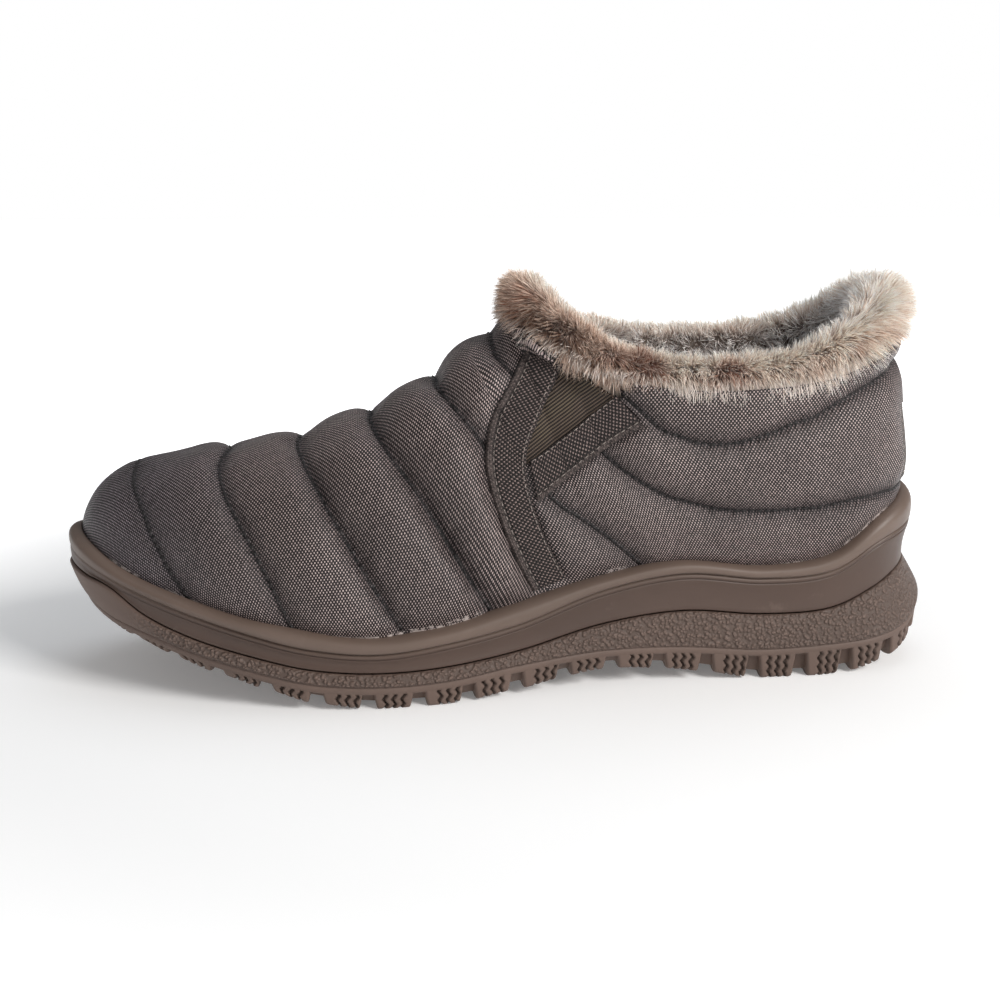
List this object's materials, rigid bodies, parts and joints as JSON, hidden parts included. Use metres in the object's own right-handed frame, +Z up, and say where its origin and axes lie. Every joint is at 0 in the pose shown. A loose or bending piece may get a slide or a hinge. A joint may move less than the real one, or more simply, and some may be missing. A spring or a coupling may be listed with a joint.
{
  "type": "slip-on boot",
  "caption": "Ankle-low quilted slip-on boot for the left foot: padded nylon upper, side elastics between webbing bands, pile cuff, lugged rubber sole.",
  "frame": {"origin": "on the ground under the middle of the model's box", "axes": "+X to the outer side of the foot, +Y to the heel, +Z up"},
  "size_m": [0.0984, 0.285, 0.131],
  "materials": {
    "outsole_rubber": "brown taupe rubber, pebbled side wall, matt",
    "midsole_rubber": "smooth brown taupe moulding, soft sheen",
    "quilted_nylon": "dark taupe woven nylon with a fine bright speck",
    "pile_lining": "short warm grey pile",
    "elastic": "ribbed brown elastic",
    "webbing": "coarse dark taupe webbing",
    "long_pile": "long warm grey pile with brown patches",
    "label_patch": "flat woven patch with a stitched border, bare"
  },
  "bodies": {
    "root": {"outsole": "outsole_rubber", "midsole": "midsole_rubber", "upper": "quilted_nylon", "insole": "pile_lining", "gore_lateral": "elastic", "gore_medial": "elastic", "webbing_front_lateral": "webbing", "webbing_rear_lateral": "webbing", "webbing_front_medial": "webbing", "webbing_rear_medial": "webbing", "fur_collar": "long_pile", "heel_tab": "label_patch"}
  },
  "joints": []
}
